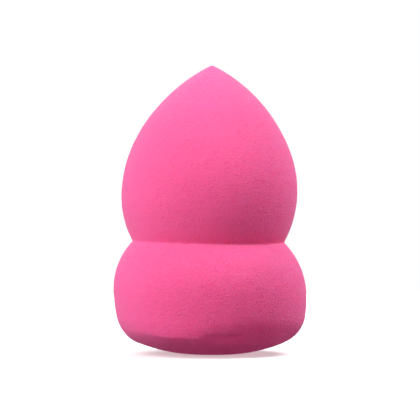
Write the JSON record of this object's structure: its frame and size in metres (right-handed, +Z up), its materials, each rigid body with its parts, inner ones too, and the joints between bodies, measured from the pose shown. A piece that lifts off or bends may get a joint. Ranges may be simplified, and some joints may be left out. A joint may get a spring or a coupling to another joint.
{
  "type": "makeup sponge",
  "caption": "Gourd-shaped makeup sponge in soft foam: a pointed upper lobe, a pinched crease and a wider lower lobe with a gently domed underside, for blending make-up.",
  "frame": {"origin": "middle of the flat patch on the underside that the sponge stands on", "axes": "+Z up the sponge's axis, through the point of its crown. The solid is round about Z. -Y faces the viewer of the picture and +X is to the viewer's right."},
  "size_m": [0.04, 0.04, 0.06],
  "materials": {
    "foam": "matte"
  },
  "bodies": {
    "root": {"sponge_body": "foam"}
  },
  "joints": []
}
